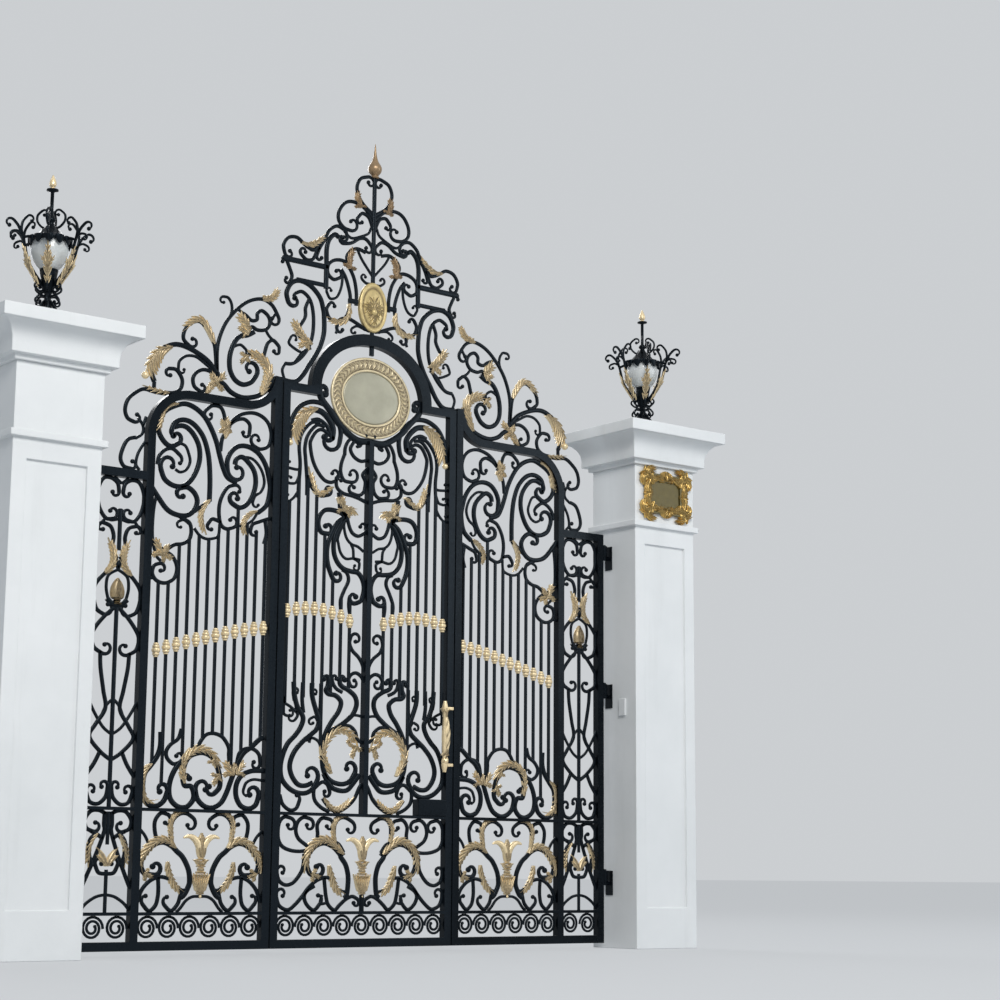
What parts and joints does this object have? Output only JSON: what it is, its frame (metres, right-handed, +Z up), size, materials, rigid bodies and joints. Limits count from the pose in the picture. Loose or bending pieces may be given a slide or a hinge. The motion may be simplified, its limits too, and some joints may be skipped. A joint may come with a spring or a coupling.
{
  "type": "driveway gate",
  "caption": "Wrought iron driveway gate of three hinged leaves with scrollwork and gilded leaves between white pillars with lanterns",
  "frame": {"origin": "on the ground midway between the two pillars, on the middle plane of the pillars; the leaves hang 45 mm behind it", "axes": "+X to the right seen from the street, +Y inward to the house, +Z up"},
  "size_m": [4.708, 0.66, 4.462],
  "materials": {
    "black_iron": "satin black paint over forged iron",
    "gold_paint": "gold paint with dark recesses",
    "champagne_sheet": "satin champagne paint",
    "white_render": "smooth painted render",
    "frosted_glass": "frosted"
  },
  "bodies": {
    "pillars": {"left_pillar": "white_render", "left_pillar_cap": "white_render", "right_pillar": "white_render", "right_pillar_cap": "white_render", "left_lantern_frame": "black_iron", "left_lantern_globe": "frosted_glass", "right_lantern_frame": "black_iron", "right_lantern_globe": "frosted_glass", "number_plaque": "gold_paint", "left_hinge_pins": "black_iron", "right_hinge_pins": "black_iron"},
    "left_leaf": {"left_leaf_frame": "black_iron", "left_leaf_bars": "black_iron", "left_leaf_collars": "gold_paint", "left_leaf_upper_scrolls": "black_iron", "left_leaf_lower_scrolls": "black_iron", "left_leaf_panel_scrolls": "black_iron", "left_leaf_whorl_band": "black_iron", "left_leaf_crest": "black_iron", "left_side_panel_scrolls": "black_iron", "left_leaf_gilding": "gold_paint"},
    "centre_leaf": {"centre_leaf_frame": "black_iron", "centre_leaf_bars": "black_iron", "centre_leaf_collars": "gold_paint", "centre_upper_scrolls": "black_iron", "centre_lower_scrolls": "black_iron", "centre_panel_scrolls": "black_iron", "centre_whorl_band": "black_iron", "centre_crest": "black_iron", "centre_leaf_gilding": "gold_paint", "medallion_ring": "gold_paint", "medallion_disc": "champagne_sheet", "crest_cartouche": "gold_paint", "crest_finial": "gold_paint", "pull_handle": "gold_paint", "lock_box": "black_iron"},
    "right_leaf": {"right_leaf_frame": "black_iron", "right_leaf_bars": "black_iron", "right_leaf_collars": "gold_paint", "right_leaf_upper_scrolls": "black_iron", "right_leaf_lower_scrolls": "black_iron", "right_leaf_panel_scrolls": "black_iron", "right_leaf_whorl_band": "black_iron", "right_leaf_crest": "black_iron", "right_side_panel_scrolls": "black_iron", "right_leaf_gilding": "gold_paint"}
  },
  "joints": [
    {"name": "left_leaf_hinge", "type": "hinge", "parent": "pillars", "child": "left_leaf", "pos_m": [-1.706, 0.045, 1.4], "axis": [0, 0, 1], "range_deg": [0, 90]},
    {"name": "centre_leaf_hinge", "type": "hinge", "parent": "left_leaf", "child": "centre_leaf", "pos_m": [-0.581, 0.0795, 1.4], "axis": [0, 0, 1], "range_deg": [0, 90]},
    {"name": "right_leaf_hinge", "type": "hinge", "parent": "pillars", "child": "right_leaf", "pos_m": [1.706, 0.045, 1.4], "axis": [0, 0, -1], "range_deg": [0, 90]}
  ]
}
